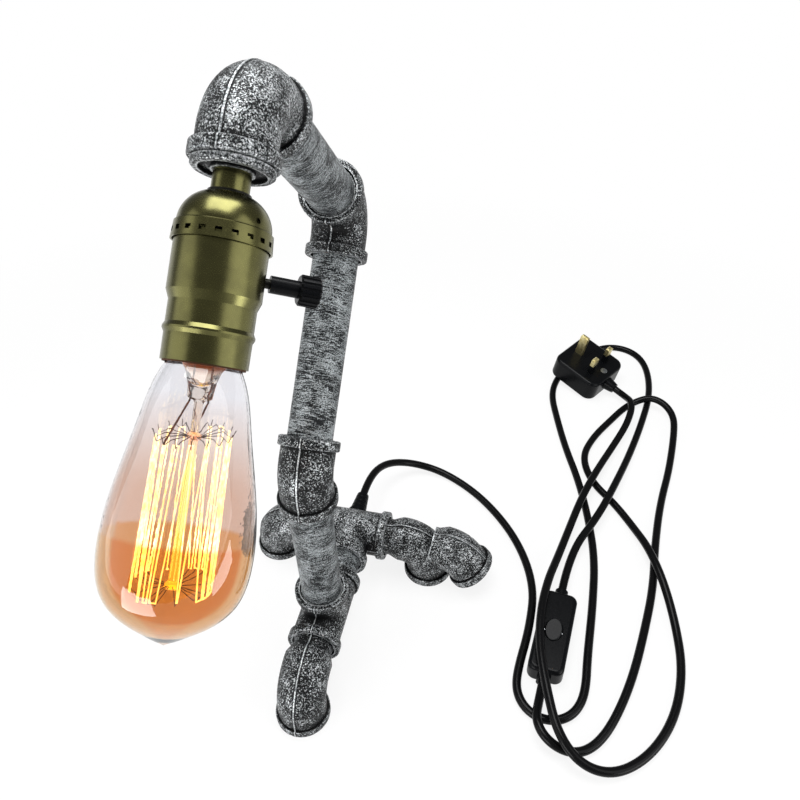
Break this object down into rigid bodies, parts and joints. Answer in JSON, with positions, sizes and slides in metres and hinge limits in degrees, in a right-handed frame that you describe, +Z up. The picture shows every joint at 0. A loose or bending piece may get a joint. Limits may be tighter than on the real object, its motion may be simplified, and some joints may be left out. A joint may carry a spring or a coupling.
{
  "type": "industrial pipe table lamp",
  "caption": "Table lamp on a swinging arm of black iron pipe and banded elbows, with a brass lampholder, a turn switch, a long squirrel-cage bulb, and a cord with a rocker switch and plug.",
  "frame": {"origin": "on the surface that the lamp stands on, under the middle of the lamp without its cord", "axes": "+Z up, +X to the right of the lamp, -Y to the front, where the bulb points"},
  "size_m": [0.333, 0.535, 0.4051],
  "materials": {
    "fitting_iron": "black casting, dry-brushed with silver",
    "pipe_steel": "black pipe, brushed through to bright steel",
    "dark_steel": "black, rubbed",
    "aged_brass": "antique satin",
    "plain_brass": "plain",
    "plated_steel": "zinc plated",
    "black_moulding": "black, slight sheen",
    "black_cord": "black, glossy round sheath",
    "clear_glass": "clear with an amber tint",
    "filament": "glowing carbon strands",
    "liner_board": "pressed board",
    "pale_moulding": "pale ceramic and moulded insulation",
    "solder": "dull"
  },
  "bodies": {
    "base": {"front_foot_elbow": "fitting_iron", "front_tee": "fitting_iron", "base_nipple": "pipe_steel", "rear_tee": "fitting_iron", "left_foot_elbow": "fitting_iron", "right_foot_elbow": "fitting_iron", "right_outer_elbow": "fitting_iron", "cable_gland": "black_moulding", "gland_nut": "plated_steel", "flex_base": "black_cord", "lamp_cord": "black_cord", "plug_cord": "black_cord", "switch_base": "black_moulding", "switch_cover": "black_moulding", "rocker_axle": "plated_steel", "switch_screws": "plated_steel", "switch_terminals": "plain_brass", "plug_base": "black_moulding", "plug_cover": "black_moulding", "earth_pin": "plain_brass", "neutral_pin": "plain_brass", "live_pin": "plain_brass", "pin_sleeves": "black_moulding", "plug_screw": "plated_steel", "fuse_contacts": "plain_brass", "plug_boot": "black_moulding"},
    "post": {"riser_pipe": "pipe_steel", "riser_bend": "fitting_iron", "post_pipe": "pipe_steel", "flex_post": "black_cord"},
    "arm": {"upper_elbow": "fitting_iron", "arm_pipe": "pipe_steel", "flex_arm": "black_cord"},
    "head": {"head_elbow": "fitting_iron", "reducing_bush": "dark_steel", "threaded_rod": "plated_steel", "rod_nuts": "plated_steel", "brass_sleeve": "aged_brass", "neck_washer": "dark_steel", "flex_head": "black_cord"},
    "holder": {"lampholder_cap": "aged_brass", "lampholder_shell": "aged_brass", "insulating_liner": "liner_board", "holder_core": "pale_moulding", "screw_shell": "plain_brass", "holder_contacts": "plain_brass", "lead_wires": "black_cord"},
    "switch_key": {"switch_rotor": "pale_moulding", "switch_spindle": "plain_brass", "turn_knob": "black_moulding"},
    "bulb": {"bulb_glass": "clear_glass", "glass_stem": "clear_glass", "filament": "filament", "support_wires": "plated_steel", "bulb_cap": "plain_brass", "bulb_insulator": "pale_moulding", "bulb_contact": "solder"},
    "rocker": {"rocker": "black_moulding"},
    "fuse_drawer": {"fuse_carrier": "black_moulding", "fuse": "pale_moulding"}
  },
  "joints": [
    {"name": "riser_swivel", "type": "hinge", "parent": "base", "child": "post", "pos_m": [-0.01553, 0.01875, 0.0595], "axis": [0, 0, 1], "range_deg": [-170, 170]},
    {"name": "arm_swing", "type": "hinge", "parent": "post", "child": "arm", "pos_m": [-0.01553, 0.10926, 0.26301], "axis": [0, 0.7071, 0.7071], "range_deg": [-100, 100]},
    {"name": "head_turn", "type": "hinge", "parent": "arm", "child": "head", "pos_m": [-0.01553, 0.04138, 0.37473], "axis": [0, -0.7071, 0.7071], "range_deg": [-120, 120]},
    {"name": "holder_swivel", "type": "hinge", "parent": "head", "child": "holder", "pos_m": [-0.01553, -0.01095, 0.36625], "axis": [0, -0.7071, -0.7071], "range_deg": [-170, 170]},
    {"name": "knob_turn", "type": "hinge", "parent": "holder", "child": "switch_key", "pos_m": [-0.01553, -0.03266, 0.34454], "axis": [0.866, 0.3536, -0.3536], "continuous": true},
    {"name": "bulb_out", "type": "slide", "parent": "holder", "child": "bulb", "axis": [0, -0.7071, -0.7071], "range_m": [0, 0.025]},
    {"name": "rocker_tip", "type": "hinge", "parent": "base", "child": "rocker", "pos_m": [0.14397, 0.04575, 0.012], "axis": [0.9945, -0.1045, 0], "range_deg": [-18, 0]},
    {"name": "fuse_out", "type": "slide", "parent": "base", "child": "fuse_drawer", "axis": [0.1528, -0.0993, 0.9833], "range_m": [0, 0.018]}
  ]
}
